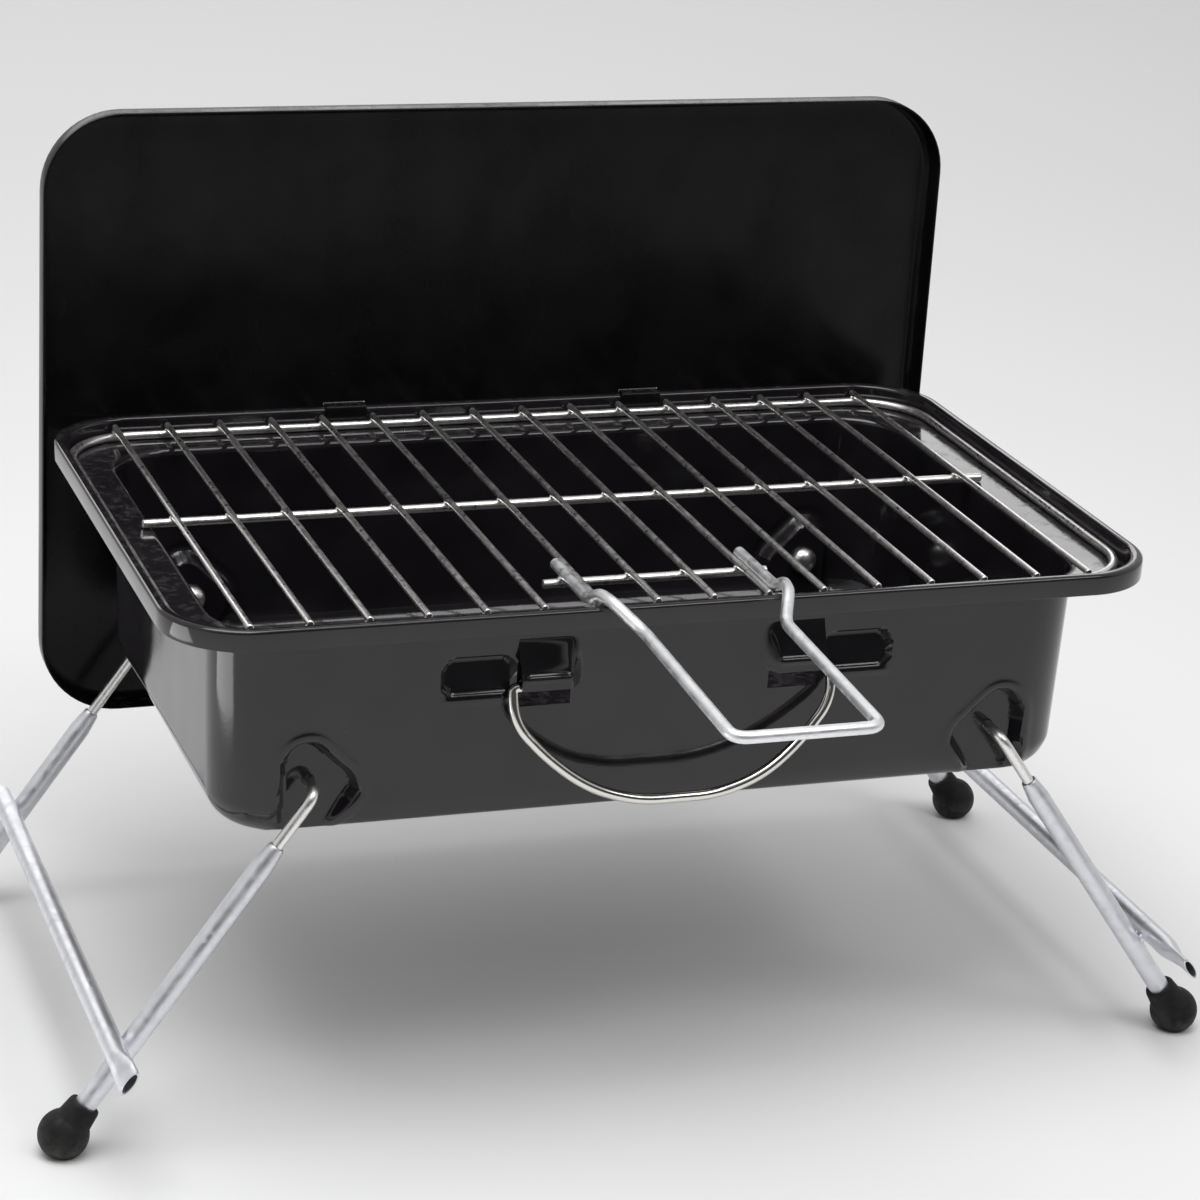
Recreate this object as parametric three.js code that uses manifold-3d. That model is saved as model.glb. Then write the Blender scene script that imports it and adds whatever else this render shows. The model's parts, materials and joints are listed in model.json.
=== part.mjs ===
// Portable tabletop grill: a pressed pan on two folding wire leg frames, with a wire grate,
// a hook-on lid and a carrying bail. Millimetres, +Z up, +X to the right, front towards -Y.
import * as THREE from 'three';
import { mergeVertices } from 'three/addons/utils/BufferGeometryUtils.js';
import Module from 'manifold-3d';

const wasm = await Module();
wasm.setup();

// Driving dimensions
const GRATE_Z = 233; // centre height of the grate's cross wires above the ground
const GAP = 0.3; // play between pieces that touch
const SHEET = 1.0; // enamelled sheet steel

const RIM_WIDTH = 442; // outside the rolled rim
const RIM_DEPTH = 286;
const RIM_CORNER = 36;
const LIP_TOP = GRATE_Z + 3.5;
const LIP_BAND = 4.6; // width of the rolled lip
const SKIRT_BOTTOM = GRATE_Z - 5.8;
const LEDGE_Z = GRATE_Z - 6; // upper face of the ledge that carries the grate
const WALL_INSET = 24.5; // from the rim's outside to the wall, at the ledge
const WALL_TAPER = 2; // how far the wall leans in on its way down
const WALL_CORNER = 28;
const FLOOR_Z = GRATE_Z - 102; // underside of the pan
const FLOOR_BEND = 16;

const LID_WIDTH = 445;
const LID_HEIGHT = 291;
const LID_CORNER = 37;
const LID_DEPTH = 13;
const LID_CENTRE_Z = GRATE_Z + 5;
const HOOK_X = 75; // lid hooks, from the middle
const HOOK_WIDTH = 20;
const HOOK_SHEET = 1.2;
const RIVET_HEAD = 7;

const FRAME_WIRE = 4;
const FRAME_WIDTH = 428; // between the centres of the frame's side wires
const FRAME_DEPTH = 262;
const FRAME_CORNER = 34;
const CROSS_WIRE = 3;
const CROSS_COUNT = 16;
const CROSS_PITCH = 25;
const CROSS_LENGTH = 266;
const CENTRE_BAR = 402;
const CENTRE_BAR_Y = 8; // from the grate's middle
const HANDLE_BAR = 102;
const HANDLE_BAR_Y = -95; // from the grate's middle
const GRATE_Y = 3; // the grate sits back against the rear lip

const LIFTER_WIRE = 5.2; // lifting handle of the grate
const LIFTER_X = 42; // its legs, from the middle, where they are welded on
const LIFTER_BACK_Y = -84; // measured from the grate's middle
const LIFTER_KINK_Y = -167;
const LIFTER_FRONT_Y = -269;
const LIFTER_FRONT_X = 31;
const LIFTER_FRONT_Z = -4.5;

const BAIL_WIRE = 4.6; // carrying handle
const BAIL_Z = GRATE_Z - 38;
const BAIL_Y = -121.3;
const BAIL_HALF = 72;
const BAIL_DROP = 52;
const BAIL_TILT = 16; // degrees that the bail stands off the wall at rest
const STRAP_INNER = 43; // the strap's inner and outer end, from the middle
const STRAP_OUTER = 69;
const STRAP_OUT = 7.8;
const STRAP_EDGE = -0.7; // lower edge, shoulder and root of the strap, from the bail's axis
const STRAP_SHOULDER = 9;
const STRAP_ROOT = 14;
const SLOT_LOW = -10.5; // the slot in the wall that the strap was pressed out of
const SLOT_HIGH = 2;
const POCKET_OUTER = 102;
const POCKET_LOW = -4; // the scoop beside the strap, deepest at its top
const POCKET_HIGH = 13;
const POCKET_LIP = 1.5; // its depth at its lower edge
const POCKET_DEPTH = 5.5;

const PIVOT_X = 156; // leg pivots
const PIVOT_Z = GRATE_Z - 77.5;
const LEG_Y = 124;
const LEG_SPLAY = 35.6; // degrees from upright, on the stop
const LEG_WIRE = 5;
const LEG_TUBE = 9.5;
const TUBE_START = { front: 28, rear: 75 }; // along the leg, from the pivot
const TUBE_END = 173;
const TUBE_BORE_DEPTH = 22;
const RAIL_AT = 134;
const RAIL_FRONT = 166; // the rail's ends, from the pan's middle
const RAIL_REAR = 131;
const FOOT_AT = 180;
const FOOT_RADIUS = 11;
const RECESS_DEPTH = 7;
const CAP_RADIUS = 6.5;

const rad = THREE.MathUtils.degToRad;

// Materials
const enamel = new THREE.MeshStandardMaterial({ color: 0x0b0b0d, roughness: 0.18, metalness: 0 });
const chrome = new THREE.MeshStandardMaterial({ color: 0xd4d4d2, roughness: 0.15, metalness: 1 });
const zinc = new THREE.MeshStandardMaterial({ color: 0xc9cace, roughness: 0.35, metalness: 1 });
const rubber = new THREE.MeshStandardMaterial({ color: 0x141414, roughness: 0.75, metalness: 0 });

// Shape helpers

// One loop of points around a rounded rectangle, counter-clockwise seen from above.
function ring(width, depth, corner, z, steps = 7) {
  const points = [];
  for (let quarter = 0; quarter < 4; quarter++) {
    const sx = quarter === 0 || quarter === 3 ? 1 : -1;
    const sy = quarter < 2 ? 1 : -1;
    for (let i = 0; i <= steps; i++) {
      const a = ((quarter + i / steps) * Math.PI) / 2;
      points.push(
        new THREE.Vector3(
          sx * (width / 2 - corner) + corner * Math.cos(a),
          sy * (depth / 2 - corner) + corner * Math.sin(a),
          z,
        ),
      );
    }
  }
  return points;
}

// A closed body from a stack of rings. The first and the last one are filled, or, when the stack
// is wrapped, joined to each other.
function loft(rings, wrapped = false) {
  const count = rings[0].length;
  const positions = rings.flat().flatMap((p) => [p.x, p.y, p.z]);
  const index = [];
  const bands = wrapped ? rings.length : rings.length - 1;
  for (let r = 0; r < bands; r++) {
    const here = r * count;
    const next = ((r + 1) % rings.length) * count;
    for (let i = 0; i < count; i++) {
      const j = (i + 1) % count;
      index.push(here + i, here + j, next + j, here + i, next + j, next + i);
    }
  }
  const last = (rings.length - 1) * count;
  for (let i = 1; i + 1 < count && !wrapped; i++) {
    index.push(0, i + 1, i);
    index.push(last, last + i, last + i + 1);
  }
  const geometry = new THREE.BufferGeometry();
  geometry.setAttribute('position', new THREE.Float32BufferAttribute(positions, 3));
  geometry.setIndex(index);
  return geometry;
}

function toSolid(geometry) {
  const plain = geometry.clone();
  plain.deleteAttribute('normal');
  plain.deleteAttribute('uv');
  const merged = mergeVertices(plain, 1e-4);
  return new wasm.Manifold(
    new wasm.Mesh({
      numProp: 3,
      vertProperties: new Float32Array(merged.attributes.position.array),
      triVerts: new Uint32Array(merged.index.array),
    }),
  );
}

function toGeometry(solid) {
  const mesh = solid.getMesh();
  const geometry = new THREE.BufferGeometry();
  geometry.setAttribute('position', new THREE.BufferAttribute(mesh.vertProperties, 3));
  geometry.setIndex(new THREE.BufferAttribute(mesh.triVerts, 1));
  return geometry;
}

// The centre line of a bent wire: straight runs between corner points, each corner rounded.
// reaches gives, for each inner corner, how far the rounding runs along its straight runs.
function bentPath(corners, reaches) {
  const path = new THREE.CurvePath();
  let from = corners[0];
  for (let i = 1; i + 1 < corners.length; i++) {
    const here = corners[i];
    const before = here.clone().sub(corners[i - 1]);
    const after = corners[i + 1].clone().sub(here);
    const reach = reaches[i - 1];
    const start = here.clone().addScaledVector(before.normalize(), -reach);
    const end = here.clone().addScaledVector(after.normalize(), reach);
    path.add(new THREE.LineCurve3(from, start));
    path.add(new THREE.QuadraticBezierCurve3(start, here, end));
    from = end;
  }
  path.add(new THREE.LineCurve3(from, corners[corners.length - 1]));
  return path;
}

function circle(diameter, sides) {
  const shape = new THREE.Shape();
  for (let i = 0; i < sides; i++) {
    const a = (i / sides) * 2 * Math.PI;
    const x = (diameter / 2) * Math.cos(a);
    const y = (diameter / 2) * Math.sin(a);
    if (i === 0) shape.moveTo(x, y);
    else shape.lineTo(x, y);
  }
  shape.closePath();
  return shape;
}

function wire(path, diameter, steps, sides = 8) {
  return new THREE.ExtrudeGeometry(circle(diameter, sides), { steps, extrudePath: path });
}

function cylinder(diameter, length, sides = 20) {
  return new THREE.CylinderGeometry(diameter / 2, diameter / 2, length, sides);
}

const grill = new THREE.Group();

function add(name, geometry, material, parent = grill) {
  const mesh = new THREE.Mesh(geometry, material);
  mesh.name = name;
  parent.add(mesh);
  return mesh;
}

// Firebox pan

// A ring set in from the rim's outside, with the corner radius running from rim to wall.
function panRing(inset, z) {
  const t = Math.min(inset / WALL_INSET, 1);
  const corner = THREE.MathUtils.lerp(RIM_CORNER, WALL_CORNER, t) - Math.max(inset - WALL_INSET - 3, 0);
  return ring(RIM_WIDTH - 2 * inset, RIM_DEPTH - 2 * inset, corner, z);
}

// The pan's wall from the floor up to the ledge, offset inwards by the sheet's thickness.
function panSide(offset) {
  const rings = [];
  const bend = FLOOR_BEND - offset;
  const centre = WALL_INSET + WALL_TAPER + FLOOR_BEND;
  for (let i = 0; i <= 4; i++) {
    const a = (i / 4) * (Math.PI / 2);
    rings.push(panRing(centre - bend * Math.sin(a), FLOOR_Z + FLOOR_BEND - bend * Math.cos(a)));
  }
  rings.push(panRing(WALL_INSET + offset, LEDGE_Z - SHEET - 2));
  return rings;
}

const lipInner = LIP_BAND;
const under = [
  ...panSide(0),
  panRing(WALL_INSET - 2, LEDGE_Z - SHEET),
  panRing(lipInner - SHEET, LEDGE_Z - SHEET),
  panRing(lipInner - SHEET, LIP_TOP - SHEET - 0.8),
  panRing(lipInner - SHEET - 0.8, LIP_TOP - SHEET),
  panRing(SHEET + 0.8, LIP_TOP - SHEET),
  panRing(SHEET, LIP_TOP - SHEET - 0.8),
  panRing(SHEET, SKIRT_BOTTOM),
];
const over = [
  panRing(0, SKIRT_BOTTOM),
  panRing(0, LIP_TOP - 1.6),
  panRing(0.6, LIP_TOP - 0.5),
  panRing(1.7, LIP_TOP),
  panRing(lipInner - 1.7, LIP_TOP),
  panRing(lipInner - 0.6, LIP_TOP - 0.5),
  panRing(lipInner, LIP_TOP - 1.6),
  panRing(lipInner, LEDGE_Z),
  panRing(WALL_INSET - 1, LEDGE_Z),
  ...panSide(SHEET).reverse(),
];
const panShell = toSolid(loft([...under, ...over]));
const panOutside = toSolid(loft([...panSide(0), panRing(WALL_INSET, LEDGE_Z - SHEET)]));

const wallY = RIM_DEPTH / 2 - WALL_INSET; // outer face of the wall under the ledge
const wallSlope = WALL_TAPER / (LEDGE_Z - SHEET - 2 - FLOOR_Z - FLOOR_BEND);
const wallAt = (z) => wallY - wallSlope * (LEDGE_Z - SHEET - 2 - z);

function block(x0, x1, y0, y1, z0, z1) {
  const geometry = new THREE.BoxGeometry(x1 - x0, y1 - y0, z1 - z0);
  geometry.translate((x0 + x1) / 2, (y0 + y1) / 2, (z0 + z1) / 2);
  return geometry;
}

// Outline of a leg recess in the wall, pivot at 0,0, x towards the pan's end, grown by a margin.
function recessOutline(grow) {
  const shape = new THREE.Shape();
  shape.moveTo(-20 - grow, -4);
  shape.quadraticCurveTo(-20 - grow, 3 + grow, -13, 8 + grow);
  shape.lineTo(-4, 17 + grow);
  shape.quadraticCurveTo(1, 21 + grow, 7, 18 + grow);
  shape.quadraticCurveTo(13 + grow, 14 + grow, 13 + grow, 5);
  shape.lineTo(14 + grow, -26);
  shape.lineTo(-7 - grow, -26);
  shape.closePath();
  return shape;
}

function recessSolid(side, face, grow, from, to) {
  const geometry = new THREE.ExtrudeGeometry(recessOutline(grow), {
    depth: to - from,
    bevelEnabled: false,
    curveSegments: 4,
  });
  geometry.rotateX(Math.PI / 2);
  geometry.translate(0, -from, 0);
  let solid = toSolid(geometry);
  if (side < 0) solid = solid.mirror([1, 0, 0]);
  if (face > 0) solid = solid.mirror([0, 1, 0]);
  return solid.translate([side * PIVOT_X, 0, PIVOT_Z]);
}

const strapWall = wallAt(BAIL_Z + STRAP_ROOT);

// A prism across the front wall; its outline runs outwards from the wall and up from the bail.
function frontPrism(x0, x1, outline) {
  const points = outline.map(([out, up]) => new THREE.Vector2(-strapWall - out, BAIL_Z + up));
  const from = Math.min(x0, x1);
  const geometry = new THREE.ExtrudeGeometry(new THREE.Shape(points), {
    depth: Math.max(x0, x1) - from,
    bevelEnabled: false,
  });
  geometry.applyMatrix4(
    new THREE.Matrix4().makeBasis(
      new THREE.Vector3(0, 1, 0),
      new THREE.Vector3(0, 0, 1),
      new THREE.Vector3(1, 0, 0),
    ),
  );
  return toSolid(geometry.translate(from, 0, 0));
}

let pan = panShell;
const pivotWall = wallAt(PIVOT_Z);
for (const side of [-1, 1]) {
  for (const face of [-1, 1]) {
    const floorY = pivotWall - RECESS_DEPTH;
    const boss = recessSolid(side, face, SHEET, floorY - SHEET, wallY + 5).intersect(panOutside);
    const hole = cylinder(LEG_WIRE + 2 * GAP, 30);
    hole.translate(side * PIVOT_X, face * floorY, PIVOT_Z);
    pan = pan.add(boss);
    pan = pan.subtract(recessSolid(side, face, 0, floorY, wallY + 20)).subtract(toSolid(hole));
  }
  const inner = side * STRAP_INNER;
  const outer = side * STRAP_OUTER;
  const sheet = side * SHEET;
  const pocketEnd = side * POCKET_OUTER;

  // The scoop beside the strap, where the bail's end turns in.
  const bump = frontPrism(outer, pocketEnd + sheet, [
    [5, POCKET_LOW - SHEET],
    [5, POCKET_HIGH + SHEET],
    [-POCKET_DEPTH - SHEET, POCKET_HIGH + SHEET],
    [-POCKET_LIP - SHEET, POCKET_LOW - SHEET],
  ]);
  const pocket = frontPrism(outer + sheet, pocketEnd, [
    [20, POCKET_LOW],
    [20, POCKET_HIGH],
    [-POCKET_DEPTH, POCKET_HIGH],
    [-POCKET_LIP, POCKET_LOW],
  ]);
  pan = pan.add(bump.intersect(panOutside)).subtract(pocket);

  // The strap, pressed outwards from the slot below it, open downwards and towards the scoop.
  const strap = frontPrism(inner, outer, [
    [-0.5, STRAP_EDGE],
    [STRAP_OUT, STRAP_EDGE],
    [STRAP_OUT, STRAP_SHOULDER],
    [-0.5, STRAP_ROOT],
  ]);
  const hollow = frontPrism(inner + sheet, outer + sheet, [
    [0, STRAP_EDGE - 1],
    [STRAP_OUT - SHEET, STRAP_EDGE - 1],
    [STRAP_OUT - SHEET, STRAP_SHOULDER - 0.6],
    [0, STRAP_ROOT - 1.5],
  ]);
  const slot = frontPrism(inner + 2 * sheet, outer - sheet, [
    [-3, SLOT_LOW],
    [0.5, SLOT_LOW],
    [0.5, SLOT_HIGH],
    [-3, SLOT_HIGH],
  ]);
  pan = pan.add(strap).subtract(hollow).subtract(slot);
}
add('firebox_pan', toGeometry(pan), enamel);

// Lid, a shallow tray that hangs upright with its hollow side to the front

// A ring of the lid: depth runs forwards from the inner face of the lid's plate.
function lidRing(inset, depth) {
  return ring(LID_WIDTH - 2 * inset, LID_HEIGHT - 2 * inset, LID_CORNER - inset, depth);
}

const lid = new THREE.Group();
lid.position.set(0, RIM_DEPTH / 2 + GAP, LID_CENTRE_Z);
lid.rotation.x = Math.PI / 2;
grill.add(lid);

let lidShell = toSolid(
  loft([
    lidRing(5, -SHEET),
    lidRing(1.5, 0.5 - SHEET),
    lidRing(0, 4 - SHEET),
    lidRing(0, LID_DEPTH),
    lidRing(SHEET, LID_DEPTH),
    lidRing(SHEET, 4),
    lidRing(2.5, 1),
    lidRing(5 + SHEET, 0),
  ]),
);

// Lid hooks: strips riveted behind the plate that come through a slot and over the rear lip
const lipY = GRATE_Z + 3.5 - LID_CENTRE_Z; // top of the pan's lip in the lid's own frame
const hookTop = lipY + GAP + HOOK_SHEET;
const hookBack = -SHEET - GAP - HOOK_SHEET;
const tongue = GAP + LIP_BAND + GAP; // from the plate to the tongue's rear face
const FLANGE = 30;
const RIVETS = [-10, -22]; // below the hook's top

function hookOutline() {
  const shape = new THREE.Shape();
  shape.moveTo(hookBack, hookTop - FLANGE);
  shape.lineTo(hookBack + HOOK_SHEET, hookTop - FLANGE);
  shape.lineTo(hookBack + HOOK_SHEET, hookTop - HOOK_SHEET);
  shape.lineTo(tongue, hookTop - HOOK_SHEET);
  shape.lineTo(tongue, hookTop - 9);
  shape.lineTo(tongue + HOOK_SHEET, hookTop - 9);
  shape.lineTo(tongue + HOOK_SHEET, hookTop);
  shape.lineTo(hookBack, hookTop);
  shape.closePath();
  return shape;
}

function rivet() {
  const length = SHEET + GAP + HOOK_SHEET;
  const geometry = new THREE.LatheGeometry(
    [
      new THREE.Vector2(0, -length - GAP - 1.8),
      new THREE.Vector2(RIVET_HEAD * 0.3, -length - GAP - 1.6),
      new THREE.Vector2(RIVET_HEAD * 0.5, -length - GAP),
      new THREE.Vector2(1.7, -length - GAP),
      new THREE.Vector2(1.7, 0),
      new THREE.Vector2(0, 0),
    ],
    12,
  );
  return geometry.rotateX(Math.PI / 2);
}

for (const [side, name] of [
  [-1, 'left'],
  [1, 'right'],
]) {
  const x = side * HOOK_X;
  const slot = block(
    x - HOOK_WIDTH / 2 - GAP,
    x + HOOK_WIDTH / 2 + GAP,
    hookTop - HOOK_SHEET - GAP,
    hookTop + GAP,
    -5,
    5,
  );
  lidShell = lidShell.subtract(toSolid(slot));
  const strip = new THREE.ExtrudeGeometry(hookOutline(), { depth: HOOK_WIDTH, bevelEnabled: false });
  strip.applyMatrix4(
    new THREE.Matrix4().makeBasis(
      new THREE.Vector3(0, 0, 1),
      new THREE.Vector3(0, 1, 0),
      new THREE.Vector3(-1, 0, 0),
    ),
  );
  strip.translate(x + HOOK_WIDTH / 2, 0, 0);
  let hook = toSolid(strip);
  RIVETS.forEach((below, i) => {
    const hole = cylinder(3.4 + 2 * GAP, 20, 12);
    hole.rotateX(Math.PI / 2);
    hole.translate(x, hookTop + below, 0);
    lidShell = lidShell.subtract(toSolid(hole));
    hook = hook.subtract(toSolid(hole));
    const pin = rivet();
    pin.translate(x, hookTop + below, 0);
    add(`lid_rivet_${name}_${i + 1}`, pin, zinc, lid);
  });
  add(`lid_hook_${name}`, toGeometry(hook), enamel, lid);
}
add('lid_shell', toGeometry(lidShell), enamel, lid);

// Grate, lifted out by its handle
const grate = new THREE.Group();
grate.position.set(0, GRATE_Y, GRATE_Z);
grill.add(grate);
const railZ = -(CROSS_WIRE / 2 + GAP + FRAME_WIRE / 2); // frame wires lie under the cross wires

function frameRing() {
  const rings = [];
  for (let i = 0; i < 8; i++) {
    const a = (i / 8) * 2 * Math.PI;
    const out = (FRAME_WIRE / 2) * Math.sin(a);
    rings.push(
      ring(
        FRAME_WIDTH + 2 * out,
        FRAME_DEPTH + 2 * out,
        FRAME_CORNER + out,
        railZ - (FRAME_WIRE / 2) * Math.cos(a),
      ),
    );
  }
  return loft(rings, true);
}
add('grate_frame', frameRing(), chrome, grate);

for (let i = 0; i < CROSS_COUNT; i++) {
  const cross = cylinder(CROSS_WIRE, CROSS_LENGTH, 8);
  const mesh = add(`grate_wire_${String(i + 1).padStart(2, '0')}`, cross, chrome, grate);
  mesh.position.x = (i - (CROSS_COUNT - 1) / 2) * CROSS_PITCH;
}

const centreBar = cylinder(FRAME_WIRE, CENTRE_BAR, 8).rotateZ(Math.PI / 2);
add('grate_centre_bar', centreBar, chrome, grate).position.set(0, CENTRE_BAR_Y, railZ);
const handleBar = cylinder(FRAME_WIRE, HANDLE_BAR, 8).rotateZ(Math.PI / 2);
add('grate_handle_bar', handleBar, chrome, grate).position.set(0, HANDLE_BAR_Y, railZ);

// The lifting handle lies on the front rail and the handle bar, and steps over the pan's lip.
const lifterZ = railZ + FRAME_WIRE / 2 + GAP + LIFTER_WIRE / 2;
const overLip = LIP_TOP - GRATE_Z + 1 + LIFTER_WIRE / 2;
const lipFront = -RIM_DEPTH / 2 - GRATE_Y;
const lifterSide = [
  [LIFTER_X, LIFTER_BACK_Y, lifterZ],
  [LIFTER_X, lipFront + 19, lifterZ],
  [LIFTER_X - 1, lipFront + 7, overLip],
  [LIFTER_X - 3, lipFront - 3, overLip],
  [LIFTER_FRONT_X, LIFTER_KINK_Y, 0],
  [LIFTER_FRONT_X, LIFTER_FRONT_Y, LIFTER_FRONT_Z],
];
const lifterPath = bentPath(
  [...lifterSide, ...lifterSide.map(([x, y, z]) => [-x, y, z]).reverse()].map(
    ([x, y, z]) => new THREE.Vector3(x, y, z),
  ),
  [3, 3, 3, 5, 7, 7, 5, 3, 3, 3],
);
add('grate_handle', wire(lifterPath, LIFTER_WIRE, 90), zinc, grate);

// Carrying handle: a sprung bail whose ends turn in behind the straps
const bail = new THREE.Group();
bail.position.set(0, BAIL_Y, BAIL_Z);
bail.rotation.x = -rad(BAIL_TILT);
grill.add(bail);
const bailSide = [
  [STRAP_INNER + 4, 0],
  [BAIL_HALF, 0],
  [BAIL_HALF, -15],
  [BAIL_HALF - 16, -33],
  [BAIL_HALF - 34, -46],
  [BAIL_HALF - 55, -BAIL_DROP],
];
const bailPath = bentPath(
  [...bailSide, ...bailSide.map(([x, z]) => [-x, z]).reverse()].map(
    ([x, z]) => new THREE.Vector3(x, 0, z),
  ),
  [2.5, 9, 11, 11, 9, 9, 11, 11, 9, 2.5],
);
add('carry_handle', wire(bailPath, BAIL_WIRE, 60), chrome, bail);

// Folding leg frames
function turned(profile, sides) {
  const points = profile.map(([r, z]) => new THREE.Vector2(r, z));
  return new THREE.LatheGeometry(points, sides).rotateX(Math.PI / 2);
}

function footGeometry(side) {
  const top = FOOT_RADIUS - 1 - FOOT_AT + 6;
  const bore = LEG_TUBE / 2 + GAP;
  const profile = [];
  for (let i = 0; i <= 8; i++) {
    const a = (i / 8) * rad(140);
    profile.push([FOOT_RADIUS * Math.sin(a), -FOOT_AT - FOOT_RADIUS * Math.cos(a)]);
  }
  profile.push([LEG_TUBE / 2 + 1.6, top]);
  profile.push([bore, top]);
  profile.push([bore, -TUBE_END - GAP]);
  profile.push([0, -TUBE_END - GAP]);
  const sole = block(-40, 40, -40, 40, -FOOT_RADIUS - 20, -FOOT_RADIUS + 2);
  sole.rotateY(side * rad(LEG_SPLAY));
  sole.translate(0, 0, -FOOT_AT);
  return toGeometry(toSolid(turned(profile, 14)).subtract(toSolid(sole)));
}

for (const [side, sideName] of [
  [-1, 'left'],
  [1, 'right'],
]) {
  const frame = new THREE.Group();
  frame.position.set(side * PIVOT_X, 0, PIVOT_Z);
  frame.rotation.y = -side * rad(LEG_SPLAY);
  grill.add(frame);

  for (const [face, faceName] of [
    [-1, 'front'],
    [1, 'rear'],
  ]) {
    const start = TUBE_START[faceName];
    const end = pivotWall - RECESS_DEPTH - SHEET - GAP - 4;
    const path = bentPath(
      [
        new THREE.Vector3(0, face * end, 0),
        new THREE.Vector3(0, face * LEG_Y, 0),
        new THREE.Vector3(0, face * LEG_Y, -start - TUBE_BORE_DEPTH + 1),
      ],
      [8],
    );
    const label = `${faceName}_${sideName}`;
    add(`leg_wire_${label}`, wire(path, LEG_WIRE, 20), chrome, frame);

    const bore = LEG_WIRE / 2 + GAP;
    const tube = turned(
      [
        [0, -TUBE_END],
        [LEG_TUBE / 2, -TUBE_END],
        [LEG_TUBE / 2, -start],
        [bore, -start],
        [bore, -start - TUBE_BORE_DEPTH],
        [0, -start - TUBE_BORE_DEPTH],
      ],
      14,
    );
    add(`leg_tube_${label}`, tube, zinc, frame).position.y = face * LEG_Y;
    add(`leg_foot_${label}`, footGeometry(side), rubber, frame).position.y = face * LEG_Y;

    const cap = turned(
      [
        [0, 6],
        [CAP_RADIUS * 0.5, 5.5],
        [CAP_RADIUS * 0.85, 4],
        [CAP_RADIUS, 1.6],
        [CAP_RADIUS, 0],
        [bore, 0],
        [bore, 4 + GAP],
        [0, 4 + GAP],
      ].reverse(),
      14,
    );
    cap.rotateX((face * Math.PI) / 2);
    add(`leg_cap_${label}`, cap, chrome, frame).position.y =
      face * (pivotWall - RECESS_DEPTH - SHEET - GAP);
  }

  const rail = cylinder(LEG_TUBE, RAIL_FRONT + RAIL_REAR, 14);
  add(`cross_rail_${sideName}`, rail, zinc, frame).position.set(
    side * (LEG_TUBE + GAP),
    (RAIL_REAR - RAIL_FRONT) / 2,
    -RAIL_AT,
  );
}

// The origin is on the ground under the middle of the whole object.
const box = new THREE.Box3().setFromObject(grill, true);
grill.position.set(-(box.min.x + box.max.x) / 2, -(box.min.y + box.max.y) / 2, -box.min.z);

export default grill;
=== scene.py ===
"""Portable tabletop grill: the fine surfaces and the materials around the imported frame."""

import json
import math

import bpy
import numpy as np
from mathutils import Matrix, Vector


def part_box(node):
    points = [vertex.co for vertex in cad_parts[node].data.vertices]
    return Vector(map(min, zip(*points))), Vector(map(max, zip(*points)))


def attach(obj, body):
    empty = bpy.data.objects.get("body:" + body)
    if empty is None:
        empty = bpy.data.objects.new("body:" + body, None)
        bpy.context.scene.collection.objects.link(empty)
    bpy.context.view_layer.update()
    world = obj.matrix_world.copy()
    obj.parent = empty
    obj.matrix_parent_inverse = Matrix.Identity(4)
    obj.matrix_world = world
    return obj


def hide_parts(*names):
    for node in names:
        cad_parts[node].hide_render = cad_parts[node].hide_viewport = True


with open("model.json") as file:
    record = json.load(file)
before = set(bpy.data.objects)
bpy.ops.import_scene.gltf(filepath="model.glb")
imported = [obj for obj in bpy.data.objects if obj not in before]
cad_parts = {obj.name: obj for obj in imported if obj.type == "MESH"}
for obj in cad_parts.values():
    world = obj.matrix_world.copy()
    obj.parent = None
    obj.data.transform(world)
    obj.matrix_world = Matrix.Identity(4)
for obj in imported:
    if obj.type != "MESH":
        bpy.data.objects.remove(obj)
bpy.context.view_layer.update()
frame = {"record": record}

MM = 0.001
LEFT, RIGHT = -1, 1
FRONT, REAR = -1, 1
SIDES = {LEFT: "left", RIGHT: "right"}
FACES = {FRONT: "front", REAR: "rear"}

# ---------------------------------------------------------------- sizes shared with the frame
SHEET = 1.0 * MM
PLAY = 0.3 * MM  # between pieces that touch
LIP_BAND = 4.6 * MM  # width of the rolled lip
LIP_ROLL = 1.7 * MM  # radius of its two edges
LEDGE_BELOW_LIP = 9.5 * MM
SKIRT = 9.3 * MM  # how far the rolled rim hangs down outside
WALL_INSET = 24.5 * MM  # from the rim's outside to the wall
WALL_TAPER = 2.0 * MM
WALL_SHOULDER = 2 * MM  # radius between the wall and the ledge, underneath
RIM_CORNER = 36 * MM
WALL_CORNER = 28 * MM
FLOOR_BEND = 16 * MM
LID_CORNER = 37 * MM
LID_BEND = 5 * MM
LID_DISH = 0.9 * MM  # how far the middle of the lid's plate is dished
FRAME_CORNER = 34 * MM
CROSS_WIRES = range(1, 17)
LIFTER_X = 42 * MM  # where the lifting handle is welded on, from the middle
LIFTER_WIRE = 5.2 * MM
RECESS_DEPTH = 7 * MM
LEG_SPLAY = math.radians(35.6)
BAIL_TILT = math.radians(16)
BAIL_WIRE = 4.6 * MM
LEG_WIRE = 5.0 * MM
LEG_TUBE = 9.5 * MM
FOOT_AT = 180 * MM  # along the leg, from its pivot
FOOT_RADIUS = 11 * MM
CAP_RADIUS = 6.5 * MM
RAIL_AT = 134 * MM
TUBE_START = {FRONT: 28 * MM, REAR: 75 * MM}
TUBE_END = 173 * MM
STRAP_X = (43 * MM, 69 * MM)  # inner and outer end of a handle strap, from the middle
STRAP_OUT = 7.6 * MM
STRAP_EDGE = -0.7 * MM  # its lower edge and its root, from the bail's axis
STRAP_ROOT = 23 * MM
SLOT_LOW = -10.5 * MM  # the slot behind the strap, from the bail's axis
SLOT_HIGH = 2 * MM
SCOOP_LOW = -4 * MM  # the scoop beside the strap, from the bail's axis
SCOOP_HIGH = 13 * MM
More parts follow.
